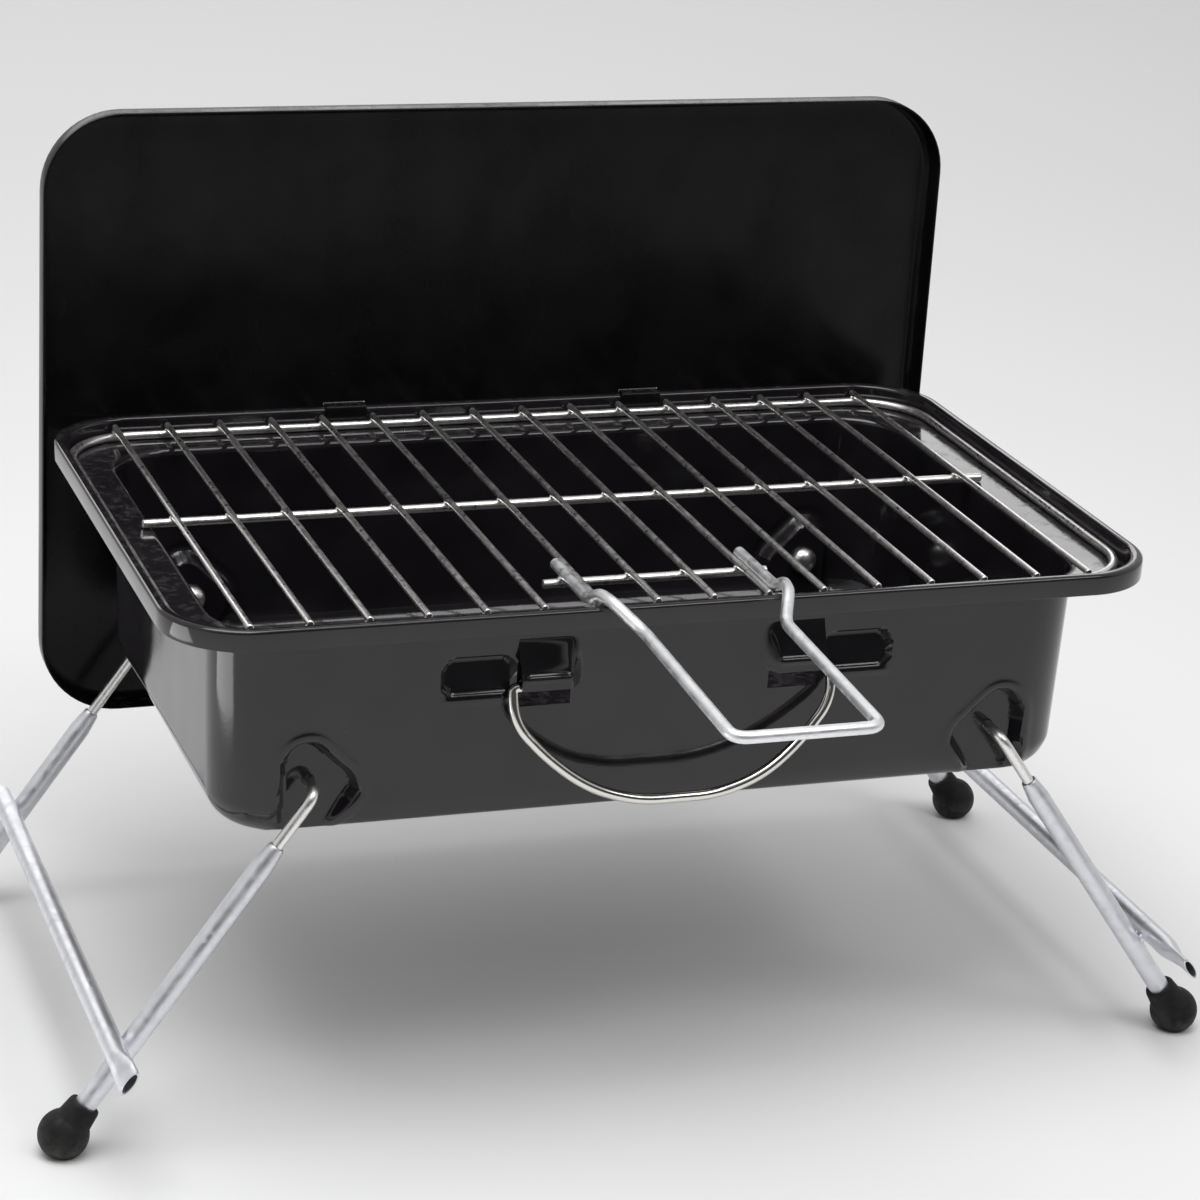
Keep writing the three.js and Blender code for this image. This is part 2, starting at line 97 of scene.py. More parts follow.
SCOOP_LIP = 1.5 * MM  # its depth at its lower edge
SCOOP_DEPTH = 5.5 * MM  # and at its top


def middle(node):
    low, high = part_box(node)
    return (Vector(low) + Vector(high)) / 2


def extent(node):
    low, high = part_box(node)
    return Vector(high) - Vector(low)


joints = {j["name"]: j for j in frame["record"]["behaviour"]["joints"]}
PAN_LOW, PAN_HIGH = (Vector(c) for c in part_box("firebox_pan"))
PAN = middle("firebox_pan")
RIM_WIDTH, RIM_DEPTH = extent("firebox_pan").x, extent("firebox_pan").y
LIP_TOP = PAN_HIGH.z
LEDGE = LIP_TOP - LEDGE_BELOW_LIP
FLOOR = PAN_LOW.z
GRATE = Vector((0, middle("grate_frame").y, middle("grate_wire_01").z))
FRAME_Z = middle("grate_frame").z
BAIL_AXIS = Vector(joints["carry_handle_swing"]["pos_m"])
PIVOT = {side: Vector(joints[f"{name}_leg_fold"]["pos_m"]) for side, name in SIDES.items()}
LEG_Y = middle("leg_tube_rear_left").y - PAN.y


# ---------------------------------------------------------------- materials
def new_material(name, roughness, metallic=0.0, specular=0.5, ior=1.5):
    material = bpy.data.materials.new(name)
    material.use_nodes = True
    shader = material.node_tree.nodes["Principled BSDF"]
    shader.inputs["Roughness"].default_value = roughness
    shader.inputs["Metallic"].default_value = metallic
    shader.inputs["Specular IOR Level"].default_value = specular
    shader.inputs["IOR"].default_value = ior
    return material, shader


class Graph:
    """Short names for the nodes that the materials and the world here are made of."""

    def __init__(self, owner):
        self.tree = owner.node_tree
        self.object = self.tree.nodes.new("ShaderNodeTexCoord").outputs["Object"]

    def link(self, a, b):
        self.tree.links.new(a, b)

    def noise(self, scale, detail=3.0, roughness=0.5, stretch=None):
        node = self.tree.nodes.new("ShaderNodeTexNoise")
        node.inputs["Scale"].default_value = scale
        node.inputs["Detail"].default_value = detail
        node.inputs["Roughness"].default_value = roughness
        self.link(self.mapped(stretch), node.inputs["Vector"])
        return node.outputs["Fac"]

    def cells(self, scale):
        node = self.tree.nodes.new("ShaderNodeTexVoronoi")
        node.inputs["Scale"].default_value = scale
        self.link(self.object, node.inputs["Vector"])
        return node

    def mapped(self, stretch):
        """The object's own coordinates, stretched if a stretch is given."""
        if stretch is None:
            return self.object
        node = self.tree.nodes.new("ShaderNodeMapping")
        node.inputs["Scale"].default_value = stretch
        self.link(self.object, node.inputs["Vector"])
        return node.outputs["Vector"]

    def ramp(self, value, low, high, out_low=0.0, out_high=1.0):
        node = self.tree.nodes.new("ShaderNodeMapRange")
        node.inputs["From Min"].default_value = low
        node.inputs["From Max"].default_value = high
        node.inputs["To Min"].default_value = out_low
        node.inputs["To Max"].default_value = out_high
        self.link(value, node.inputs["Value"])
        return node.outputs["Result"]

    def math(self, operation, a, b):
        node = self.tree.nodes.new("ShaderNodeMath")
        node.operation = operation
        for socket, value in zip(node.inputs, (a, b)):
            if isinstance(value, (int, float)):
                socket.default_value = value
            else:
                self.link(value, socket)
        return node.outputs["Value"]

    def mix(self, factor, a, b):
        node = self.tree.nodes.new("ShaderNodeMix")
        node.data_type = "RGBA"
        self.link(factor, node.inputs["Factor"])
        for socket, value in ((node.inputs[6], a), (node.inputs[7], b)):
            if isinstance(value, tuple):
                socket.default_value = (*value, 1)
            else:
                self.link(value, socket)
        return node.outputs[2]

    def bump(self, height, distance, below=None):
        node = self.tree.nodes.new("ShaderNodeBump")
        node.inputs["Distance"].default_value = distance
        self.link(height, node.inputs["Height"])
        if below is not None:
            self.link(below, node.inputs["Normal"])
        return node.outputs["Normal"]

    def up(self):
        """How far the surface faces upwards."""
        geometry = self.tree.nodes.new("ShaderNodeNewGeometry")
        split = self.tree.nodes.new("ShaderNodeSeparateXYZ")
        self.link(geometry.outputs["Normal"], split.inputs["Vector"])
        return split.outputs["Z"]

    def height(self):
        """Height above the ground at rest."""
        split = self.tree.nodes.new("ShaderNodeSeparateXYZ")
        self.link(self.object, split.inputs["Vector"])
        return split.outputs["Z"]


def enamel(name, base, roughness, waviness, specular=0.5):
    """Gloss enamel on pressed sheet: orange peel, slow waves of the sheet, pinholes, dust."""
    material, shader = new_material(name, roughness, specular=specular, ior=1.52)
    g = Graph(material)
    mottle = g.noise(38, 4)
    pinholes = g.ramp(g.cells(420).outputs["Distance"], 0.02, 0.07, 1.0, 0.0)
    colour = g.mix(g.ramp(mottle, 0.35, 0.7), base, tuple(1.5 * c + 0.002 for c in base))
    dust = g.math("MULTIPLY", g.ramp(g.up(), 0.75, 1.0), g.ramp(g.noise(210, 6, 0.7), 0.5, 0.78, 0, 0.22))
    g.link(g.mix(dust, colour, (0.22, 0.21, 0.20)), shader.inputs["Base Color"])
    smears = g.ramp(g.noise(24, 5, 0.65, (1, 1, 0.45)), 0.38, 0.72, roughness * 0.85, roughness * 1.75)
    g.link(g.math("ADD", smears, g.math("MULTIPLY", dust, 1.2)), shader.inputs["Roughness"])
    waves = g.bump(g.noise(9, 2), waviness)
    peel = g.bump(g.noise(650, 2), 0.000012, waves)
    g.link(g.bump(pinholes, -0.00003, peel), shader.inputs["Normal"])
    return material


def chrome(name, base, roughness):
    """Bright plating on drawn wire: fine mottling, tiny pits and faint brown in the dull spots."""
    material, shader = new_material(name, roughness, metallic=1.0)
    g = Graph(material)
    stain = g.ramp(g.noise(120, 5, 0.65), 0.6, 0.85, 0, 0.25)
    g.link(g.mix(stain, base, (0.42, 0.38, 0.33)), shader.inputs["Base Color"])
    haze = g.ramp(g.noise(340, 4, 0.6), 0.3, 0.75, roughness * 0.8, roughness * 1.5)
    g.link(g.math("ADD", haze, g.math("MULTIPLY", stain, 0.18)), shader.inputs["Roughness"])
    pits = g.ramp(g.cells(900).outputs["Distance"], 0.03, 0.12, 1.0, 0.0)
    g.link(g.bump(pits, -0.00002, g.bump(g.noise(260, 3), 0.00003)), shader.inputs["Normal"])
    return material


def zinc(name, base, roughness, spangle=260):
    """Satin zinc plate: a fine spangle, soft streaks and scuffs."""
    material, shader = new_material(name, roughness, metallic=1.0)
    g = Graph(material)
    cells = g.cells(spangle)
    split = g.tree.nodes.new("ShaderNodeSeparateColor")
    g.link(cells.outputs["Color"], split.inputs["Color"])
    tone = g.ramp(split.outputs["Red"], 0, 1, 0.0, 0.35)
    colour = g.mix(tone, base, tuple(c * 0.8 for c in base))
    scuff = g.ramp(g.noise(95, 6, 0.72), 0.55, 0.78, 0, 0.6)
    g.link(g.mix(scuff, colour, tuple(c * 0.52 for c in base)), shader.inputs["Base Color"])
    satin = g.ramp(split.outputs["Green"], 0, 1, roughness * 0.85, roughness * 1.2)
    g.link(g.math("ADD", satin, g.math("MULTIPLY", scuff, 0.15)), shader.inputs["Roughness"])
    grain = g.bump(g.noise(700, 3), 0.00002)
    g.link(g.bump(g.noise(60, 4, 0.6), 0.0001, grain), shader.inputs["Normal"])
    return material


def moulded_rubber(name):
    """Matt black rubber with a moulded grain, paler where it is scuffed near the ground."""
    material, shader = new_material(name, 0.62, specular=0.25)
    g = Graph(material)
    low = g.ramp(g.height(), 0.002, 0.014, 1.0, 0.0)
    scuff = g.math("MULTIPLY", low, g.ramp(g.noise(160, 6, 0.7), 0.42, 0.7))
    tone = g.mix(g.ramp(g.noise(70, 4), 0.35, 0.7), (0.006, 0.006, 0.007), (0.013, 0.013, 0.013))
    g.link(g.mix(scuff, tone, (0.08, 0.072, 0.062)), shader.inputs["Base Color"])
    g.link(g.ramp(g.noise(300, 3), 0.3, 0.7, 0.5, 0.78), shader.inputs["Roughness"])
    grain = g.bump(g.cells(1300).outputs["Distance"], 0.00006)
    g.link(g.bump(g.noise(150, 3), 0.00012, grain), shader.inputs["Normal"])
    return material


PAN_ENAMEL = enamel("gloss_black_enamel", (0.0095, 0.0080, 0.0098), 0.075, 0.0014)
# The lid's enamel is a darker copy of the pan's with weaker reflections: painted shade standing in for
# the dark surroundings that the lid's plate mirrors
LID_SHADED_ENAMEL = enamel("lid_enamel_painted_shade", (0.0034, 0.0030, 0.0036), 0.20, 0.0006, 0.14)
WIRE_CHROME = chrome("wire_chrome", (0.88, 0.87, 0.85), 0.30)
BAIL_CHROME = chrome("bail_chrome", (0.78, 0.76, 0.72), 0.07)
WHITE_ZINC = zinc("handle_zinc", (0.90, 0.91, 0.93), 0.42)
TUBE_ZINC = zinc("tube_zinc", (0.80, 0.81, 0.85), 0.42)
FOOT_RUBBER = moulded_rubber("foot_rubber")


# ---------------------------------------------------------------- mesh helpers
def make(name, vertices, faces, material, body, sharp=35, replaces=()):
    mesh = bpy.data.meshes.new(name)
    mesh.from_pydata([tuple(v) for v in vertices], [], faces)
    mesh.validate()
    mesh.update()
    mesh.shade_smooth()
    mesh.set_sharp_from_angle(angle=math.radians(sharp))
    mesh.materials.append(material)
    piece = bpy.data.objects.new(name, mesh)
    bpy.context.collection.objects.link(piece)
    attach(piece, body)
    if replaces:
        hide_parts(*replaces)
    return piece


def stack_faces(rows, count, closed_stack=False):
    """Quads between rings of count points, with the first and last ring filled if it is open."""
    faces = []
    for r in range(rows if closed_stack else rows - 1):
        here, there = r * count, ((r + 1) % rows) * count
        for i in range(count):
            j = (i + 1) % count
            faces.append((here + i, here + j, there + j, there + i))
    if not closed_stack:
        faces.append(tuple(reversed(range(count))))
        faces.append(tuple(range((rows - 1) * count, rows * count)))
    return faces


def rounded_ring(width, depth, corner, long_steps, short_steps, corner_steps):
    """Points around a rounded rectangle, counter-clockwise, as an array of x, y.

    The steps are a count of equal steps, or the shares of the run where points lie.
    """
    points = []
    for quarter in range(4):
        sx = 1 if quarter in (0, 3) else -1
        sy = 1 if quarter < 2 else -1
        cx, cy = sx * (width / 2 - corner), sy * (depth / 2 - corner)
        for i in range(corner_steps + 1):
            a = (quarter + i / corner_steps) * math.pi / 2
            points.append((cx + corner * math.cos(a), cy + corner * math.sin(a)))
        steps = long_steps if quarter % 2 == 0 else short_steps
        shares = np.arange(1, steps) / steps if isinstance(steps, int) else steps
        dx, dy = [(-1, 0), (0, -1), (1, 0), (0, 1)][quarter]
        run = (width if quarter % 2 == 0 else depth) - 2 * corner
        start = points[-1]
        points += [(start[0] + dx * run * t, start[1] + dy * run * t) for t in shares]
    return np.array(points)


def arc(centre, radius, start, end, steps):
    """Points on an arc in the plane of inset and height; angles in degrees."""
    angles = np.radians(np.linspace(start, end, steps + 1))
    return [(centre[0] + radius * math.cos(a), centre[1] + radius * math.sin(a)) for a in angles]


def smooth(value, width):
    """From 0 at or below 0 to 1 at width, level at both ends."""
    t = np.clip(value / width, 0, 1)
    return t * t * (3 - 2 * t)


def bent(corners, reaches, steps=8):
    """A polyline through corner points with each inner corner rounded over its reach."""
    corners = [Vector(c) for c in corners]
    line = [corners[0]]
    for before, here, after, reach in zip(corners, corners[1:], corners[2:], reaches):
        start = here + (before - here).normalized() * reach
        end = here + (after - here).normalized() * reach
        for i in range(steps + 1):
            t = i / steps
            line.append((1 - t) ** 2 * start + 2 * t * (1 - t) * here + t * t * end)
    line.append(corners[-1])
    return line


def open_tangents(line):
    last = len(line) - 1
    return [(line[min(i + 1, last)] - line[max(i - 1, 0)]).normalized() for i in range(last + 1)]


def tube_mesh(line, radii, sides=20, closed=False):
    """Rings of a round rod along a line; radii is one number or one for each point."""
    count = len(line)
    radii = [radii] * count if isinstance(radii, (int, float)) else radii
    if closed:
        tangents = [(line[(i + 1) % count] - line[i - 1]).normalized() for i in range(count)]
    else:
        tangents = open_tangents(line)
    normal = tangents[0].orthogonal().normalized()
    vertices = []
    for i, (point, tangent) in enumerate(zip(line, tangents)):
        if i:
            normal = tangents[i - 1].rotation_difference(tangent) @ normal
            normal = (normal - tangent * normal.dot(tangent)).normalized()
        side = tangent.cross(normal)
        for k in range(sides):
            a = 2 * math.pi * k / sides
            vertices.append(point + radii[i] * (math.cos(a) * normal + math.sin(a) * side))
    return vertices, stack_faces(count, sides, closed_stack=closed)


def rod(name, line, diameter, material, body, replaces, sides=24, chamfer=0.35 * MM):
    """A wire with chamfered cut ends."""
    line = [Vector(p) for p in line]
    r = diameter / 2
    first = (line[1] - line[0]).normalized() * chamfer
    last = (line[-2] - line[-1]).normalized() * chamfer
    path = [line[0], line[0] + first, *line[1:-1], line[-1] + last, line[-1]]
    radii = [r - chamfer, *[r] * (len(path) - 2), r - chamfer]
    vertices, faces = tube_mesh(path, radii, sides)
    return make(name, vertices, faces, material, body, replaces=replaces)


def turned_mesh(profile, place, sides=32):
    """A profile of radius and height turned around an axis; place puts it in the row frame."""
    vertices, faces, rows = [], [], []
    for r, z in profile:
        if r < 1e-7:
            rows.append([len(vertices)])
            vertices.append(place @ Vector((0, 0, z)))
            continue
        rows.append(list(range(len(vertices), len(vertices) + sides)))
        for k in range(sides):
            a = 2 * math.pi * k / sides
            vertices.append(place @ Vector((r * math.cos(a), r * math.sin(a), z)))
    for low, high in zip(rows, rows[1:]):
        for k in range(sides):
            j = (k + 1) % sides
            quad = [low[k % len(low)], low[j % len(low)], high[j % len(high)], high[k % len(high)]]
            faces.append(tuple(dict.fromkeys(quad)))
    return vertices, faces


def beads(name, places, material, body):
    """Small weld nuggets: flattened balls, each given as centre and half sizes."""
    vertices, faces = [], []
    for centre, size in places:
        profile = [(math.sin(a), -math.cos(a)) for a in np.linspace(0, math.pi, 9)]
        stretch = Matrix.Translation(centre) @ Matrix.Diagonal((*size, 1))
        more, more_faces = turned_mesh(profile, stretch, 14)
        faces += [tuple(i + len(vertices) for i in f) for f in more_faces]
        vertices += more
    return make(name, vertices, faces, material, body, sharp=80)


def solid_cut(piece, cutters):
    """Cuts closed helper meshes out of a piece and removes the helpers."""
    for vertices, faces in cutters:
        mesh = bpy.data.meshes.new("cutter")
        mesh.from_pydata([tuple(v) for v in vertices], [], faces)
        helper = bpy.data.objects.new("cutter", mesh)
        bpy.context.collection.objects.link(helper)
        cut = piece.modifiers.new("cut", "BOOLEAN")
        cut.operation, cut.solver, cut.object = "DIFFERENCE", "EXACT", helper
        bpy.context.view_layer.update()
        evaluated = piece.evaluated_get(bpy.context.evaluated_depsgraph_get())
        result = bpy.data.meshes.new_from_object(evaluated)
        piece.modifiers.remove(cut)
        old, piece.data = piece.data, result
        name = old.name
        bpy.data.meshes.remove(old)
        piece.data.name = name
        bpy.data.objects.remove(helper)
        bpy.data.meshes.remove(mesh)


def box_mesh(low, high):
    xs, ys, zs = zip(low, high)
    vertices = [(x, y, z) for x in xs for y in ys for z in zs]
    faces = [(0, 1, 3, 2), (4, 6, 7, 5), (0, 4, 5, 1), (2, 3, 7, 6), (0, 2, 6, 4), (1, 5, 7, 3)]
    return vertices, faces


def inside_distance(x, z, outline):
    """Distance from points to an outline, positive inside it."""
    best = np.full(x.shape, np.inf)
    inside = np.zeros(x.shape, bool)
    for (ax, az), (bx, bz) in zip(outline, outline[1:] + outline[:1]):
        ex, ez = bx - ax, bz - az
        t = np.clip(((x - ax) * ex + (z - az) * ez) / (ex * ex + ez * ez), 0, 1)
        best = np.minimum(best, np.hypot(x - ax - t * ex, z - az - t * ez))
        crosses = (az > z) != (bz > z)
        with np.errstate(divide="ignore", invalid="ignore"):
            at = ax + (z - az) * ex / ez
        inside ^= crosses & (x < at)
    return np.where(inside, best, -best)


def curve_points(start, control, end, steps=8):
    """Points on a curve from start to end that leans towards a control point."""
    return [
        tuple((1 - t) ** 2 * s + 2 * t * (1 - t) * c + t * t * e for s, c, e in zip(start, control, end))
        for t in np.linspace(0, 1, steps + 1)
    ]


# ---------------------------------------------------------------- firebox pan
WALL_TOP = LEDGE - SHEET - WALL_SHOULDER
BEND_TOP = FLOOR + FLOOR_BEND


def wall_inset(z):
    """How far the wall's outer face lies inside the rim at a height."""
    return WALL_INSET + WALL_TAPER * (WALL_TOP - z) / (WALL_TOP - BEND_TOP)


def wall_y(z):
    """Half the depth between the outer faces of the front and rear walls."""
    return RIM_DEPTH / 2 - wall_inset(z)


def recess_outline():
    """Leg recess, pivot at 0,0 and x towards the pan's end; it runs out at the floor's bend."""
    shape = curve_points((-20, -4), (-20, 3), (-13, 8))
    shape += curve_points((-4, 17), (1, 21), (7, 18))
    shape += curve_points((7, 18), (13, 14), (13, 5))[1:]
    shape += [(15, -60), (-7, -24), (-14, -13)]
    return [(x * MM, z * MM) for x, z in shape]


def scoop_outline():
    """Scoop beside a handle strap, from the bail's axis."""
    inner, outer, cut = 70 * MM, 102 * MM, 4 * MM
    low, high = SCOOP_LOW, SCOOP_HIGH
    shape = [(inner, low), (outer - cut, low), (outer, low + cut), (outer, high - 5 * MM)]
    return shape + [(outer - cut, high), (inner + cut, high), (inner, high - 3 * MM)]


def pressed(x, y, z, skin):
    """The wall's y after pressing; skin is 0 for the outer face and SHEET for the inner one."""
    reach = np.abs(y)
    straight = reach > RIM_DEPTH / 2 - WALL_INSET - WALL_TAPER - FLOOR_BEND - 2 * SHEET
    pivot = PIVOT[RIGHT]
    depth = inside_distance(np.abs(x) - pivot.x, z - pivot.z, recess_outline()) + skin
    floor = wall_y(pivot.z) - RECESS_DEPTH - skin
    mask = smooth(depth + 1.2 * MM, 4.2 * MM) * straight
    shaped = reach - np.maximum(reach - floor, 0) * mask
    raised_edge = np.exp(-(((depth + 3.0 * MM) / (1.9 * MM)) ** 2))
    shaped += 0.7 * MM * raised_edge * straight

    rise = z - BAIL_AXIS.z
    depth = inside_distance(np.abs(x), rise, scoop_outline()) + skin
    front = straight * (y < 0)
    mask = smooth(depth + 0.8 * MM, 2.8 * MM) * front
    share = np.clip((rise - SCOOP_LOW) / (SCOOP_HIGH - SCOOP_LOW), 0, 1)
    floor = wall_y(BAIL_AXIS.z) - (SCOOP_LIP + (SCOOP_DEPTH - SCOOP_LIP) * share) - skin
    shaped -= np.maximum(shaped - floor, 0) * mask
    ledge = np.exp(-(((rise + 6.2 * MM) / (1.6 * MM)) ** 2)) * smooth(104 * MM - np.abs(x), 5 * MM)
    shaped += 0.6 * MM * ledge * smooth(np.abs(x) - 70 * MM, 5 * MM) * front
    return np.sign(y) * shaped


def pan_profile():
    """Inset and height of every ring, from the floor's underside round the rim to its upper side.

    The second value is how many of them belong to the outer skin.
    """
    centre = WALL_INSET + WALL_TAPER + FLOOR_BEND

    def side(skin):
        bend = arc((centre, BEND_TOP), FLOOR_BEND - skin, -90, -180, 24)
        heights = np.linspace(BEND_TOP, WALL_TOP, 84)[1:]
        return bend + [(wall_inset(z) + skin, z) for z in heights]

    lip = LIP_TOP - LIP_ROLL
    below = LEDGE - SHEET
    outer = side(0) + arc((WALL_INSET - WALL_SHOULDER, WALL_TOP), WALL_SHOULDER, 0, 90, 4)[1:]
    outer += [(LIP_BAND - SHEET + 0.6 * MM, below), (LIP_BAND - SHEET, below + 0.6 * MM)]
    outer += [(LIP_BAND - SHEET, lip), (LIP_BAND - 1.8 * MM, LIP_TOP - SHEET)]
    outer += [(1.8 * MM, LIP_TOP - SHEET), (SHEET, lip)]
    outer += [(SHEET, LIP_TOP - SKIRT + 0.4 * MM)]
    hem = arc((SHEET / 2, LIP_TOP - SKIRT + SHEET / 2), SHEET / 2, 0, -180, 6)
    roll = arc((LIP_ROLL, lip), LIP_ROLL, 180, 90, 7)
    roll += arc((LIP_BAND - LIP_ROLL, lip), LIP_ROLL, 90, 0, 7)
    seat = arc((LIP_BAND + 1 * MM, LEDGE + 1 * MM), 1 * MM, 180, 270, 4)
    fillet = WALL_SHOULDER + SHEET
    edge = arc((WALL_INSET - WALL_SHOULDER, LEDGE - fillet), fillet, 90, 0, 5)
    return outer + hem + roll + seat + edge[:-1] + side(SHEET)[::-1], len(outer)


def pan_ring(inset):
    """Outline of the pan at an inset from the rim; its corners tighten towards the wall."""
    t = min(inset / WALL_INSET, 1)
    corner = RIM_CORNER + (WALL_CORNER - RIM_CORNER) * t - max(inset - WALL_INSET - 3 * MM, 0)
    return rounded_ring(RIM_WIDTH - 2 * inset, RIM_DEPTH - 2 * inset, corner, LONG_STEPS, 40, 28)


def long_steps():
    """Shares of the long wall, close together where it is pressed into recesses and scoops.

    Each stop is a start and an end from the wall's middle, and how many points lie between.
    """
    stops = [(-168, -128, 44), (-128, -106, 6), (-106, -66, 36), (-66, 66, 26)]
    stops += [(66, 106, 36), (106, 128, 6), (128, 168, 44)]
    at = np.concatenate([np.linspace(a, b, n, endpoint=False) for a, b, n in stops])
    return (at[1:] + 168) / 336


LONG_STEPS = long_steps()


def make_pan():
    profile, outer_count = pan_profile()
    vertices = []
    for i, (inset, z) in enumerate(profile):
        points = pan_ring(inset)
        x, y = points[:, 0], points[:, 1]
        if z < WALL_TOP + 1e-6:
            y = pressed(x, y, np.full(x.shape, z), 0 if i < outer_count else SHEET)
        vertices.append(np.column_stack([x + PAN.x, y + PAN.y, np.full(x.shape, z)]))
    count = len(vertices[0])
    faces = stack_faces(len(vertices), count)
    piece = make("pan_shell", np.vstack(vertices), faces, PAN_ENAMEL, "pan", 32)
    holes = []
    for pivot in PIVOT.values():
        for face in FACES:
            at = Vector((pivot.x, PAN.y + face * (wall_y(pivot.z) - RECESS_DEPTH), pivot.z))
            place = Matrix.Translation(at) @ Matrix.Rotation(math.pi / 2, 4, "X")
            radius = LEG_WIRE / 2 + PLAY
            profile = [(0, -6 * MM), (radius, -6 * MM), (radius, 6 * MM), (0, 6 * MM)]
            holes.append(turned_mesh(profile, place, 24))
    wall = PAN.y - wall_y(BAIL_AXIS.z)
    for side in SIDES:
        ends = sorted((side * (STRAP_X[0] + 2 * MM), side * (STRAP_X[1] - 1 * MM)))
        low = (ends[0], wall - 3 * MM, BAIL_AXIS.z + SLOT_LOW)
        holes.append(box_mesh(low, (ends[1], wall + 4 * MM, BAIL_AXIS.z + SLOT_HIGH)))
    solid_cut(piece, holes)
    piece.data.shade_smooth()
    piece.data.set_sharp_from_angle(angle=math.radians(32))
    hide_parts("firebox_pan")


def make_strap(side):
    """Hood pressed out over the bail's end: it grows out of the wall and carries a small bead."""
    inner, outer = STRAP_X[0] - 4 * MM, STRAP_X[1]
    base = wall_y(BAIL_AXIS.z + STRAP_ROOT)
    xs = np.linspace(inner, outer, 46)
    zs = np.linspace(STRAP_EDGE, STRAP_ROOT, 38)
    x, z = np.meshgrid(xs, zs, indexing="ij")
    blend_x, blend_z = 9 * MM, 21 * MM  # run of the slopes at the inner end and at the root
    rise = smooth(x - inner, blend_x) * smooth(STRAP_ROOT - z, blend_z)
    bead_x, bead_half, bead_z, bead_radius = 57 * MM, 9 * MM, 4.5 * MM, 2.2 * MM
    ridge = np.hypot(np.maximum(np.abs(x - bead_x) - bead_half, 0), z - bead_z)
    bead = 0.9 * MM * smooth(bead_radius - ridge, 1.6 * MM)
    lean = wall_y(BAIL_AXIS.z + STRAP_ROOT) - wall_y(BAIL_AXIS.z + z)
    out = rise * (STRAP_OUT - 0.5 * MM) + bead * rise - (0.3 * MM + lean) * (1 - rise)
    under = out - SHEET
    rows, columns = len(xs), len(zs)
    count = rows * columns
    vertices = []
    for shape in (out, under):
        y = PAN.y - base - shape
        vertices += list(zip((side * x).ravel(), y.ravel(), (z + BAIL_AXIS.z).ravel()))
    faces = []
    for i in range(rows - 1):
        for j in range(columns - 1):
            a = i * columns + j
            quad = (a, a + columns, a + columns + 1, a + 1)
            faces.append(quad if side > 0 else quad[::-1])
            back = tuple(v + count for v in quad)
            faces.append(back[::-1] if side > 0 else back)
    border = [i * columns for i in range(rows)]
    border += [(rows - 1) * columns + j for j in range(1, columns)]
    border += [i * columns + columns - 1 for i in range(rows - 2, -1, -1)]
    border += list(range(columns - 2, 0, -1))
    for a, b in zip(border, border[1:] + border[:1]):
        quad = (b, a, a + count, b + count)
        faces.append(quad if side > 0 else quad[::-1])
    make(f"strap_{SIDES[side]}", vertices, faces, PAN_ENAMEL, "pan", 50)


make_pan()
for side in SIDES:
    make_strap(side)


# ---------------------------------------------------------------- lid and its hooks
LID = middle("lid_shell")
LID_SIZE = extent("lid_shell")
PLATE_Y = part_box("lid_shell")[1][1] - SHEET  # inner face of the lid's plate
LID_DEPTH = PLATE_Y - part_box("lid_shell")[0][1]


def lid_ring(inset):
    """Outline of the lid at an inset from its edge."""
    corner = max(LID_CORNER - inset, 2 * MM)
    return rounded_ring(LID_SIZE.x - 2 * inset, LID_SIZE.z - 2 * inset, corner, 60, 40, 14)


def make_lid():
    bend = (LID_BEND, LID_BEND - SHEET)
    insets = (130, 105, 84, 66, 50, 37, 26, 17, 10)
    dish = [(inset * MM, LID_DISH * smooth(inset - 6, 110)) for inset in insets]
    outer = [(inset, depth - SHEET) for inset, depth in dish]
    outer += [(a, b) for a, b in arc(bend, LID_BEND, -90, -180, 8)]
    edge = arc((SHEET / 2, LID_DEPTH - SHEET / 2), SHEET / 2, 180, 0, 6)
    inner = arc(bend, LID_BEND - SHEET, 180, 270, 8) + dish[::-1]
    vertices = []
    for inset, depth in outer + edge + inner:
        points = lid_ring(inset)
        y = np.full(len(points), PLATE_Y - depth)
        vertices.append(np.column_stack([points[:, 0] + LID.x, y, points[:, 1] + LID.z]))
    faces = [f[::-1] for f in stack_faces(len(vertices), len(vertices[0]))]
    piece = make("lid_tray", np.vstack(vertices), faces, LID_SHADED_ENAMEL, "lid", 40)
    slots = []
    for name in SIDES.values():
        low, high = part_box(f"lid_hook_{name}")
        slot_low = (low[0] - PLAY, PLATE_Y - 3 * MM, high[2] - 1.5 * MM)
        slots.append(box_mesh(slot_low, (high[0] + PLAY, PLATE_Y + 3 * MM, high[2] + PLAY)))
    solid_cut(piece, slots)
    piece.data.shade_smooth()
    piece.data.set_sharp_from_angle(angle=math.radians(40))
    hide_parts("lid_shell")


def make_hook(name):
    """A strip folded over the rear lip, with softened edges."""
    low, high = (Vector(c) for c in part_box(f"lid_hook_{name}"))
    half = 0.6 * MM
    back, front, top = high.y - half, low.y + half, high.z - half
    corners = [(0, back, low.z), (0, back, top), (0, front, top), (0, front, top - 8.4 * MM)]
    line = bent(corners, [1.3 * MM, 1.3 * MM], 5)
    section = [(-1, -0.5), (-0.98, -1), (0.98, -1), (1, -0.5), (1, 0.5), (0.98, 1), (-0.98, 1), (-1, 0.5)]
    wide = (high.x - low.x) / 2
    centre = (high.x + low.x) / 2
    vertices = []
    for point, tangent in zip(line, open_tangents(line)):
        normal = tangent.cross(Vector((1, 0, 0)))
        for across, through in section:
            spot = point + normal * through * half
            vertices.append((centre + across * wide, spot.y, spot.z))
    faces = stack_faces(len(line), len(section))
    node = f"lid_hook_{name}"
    make(f"hook_strip_{name}", vertices, faces, LID_SHADED_ENAMEL, "lid", replaces=[node])


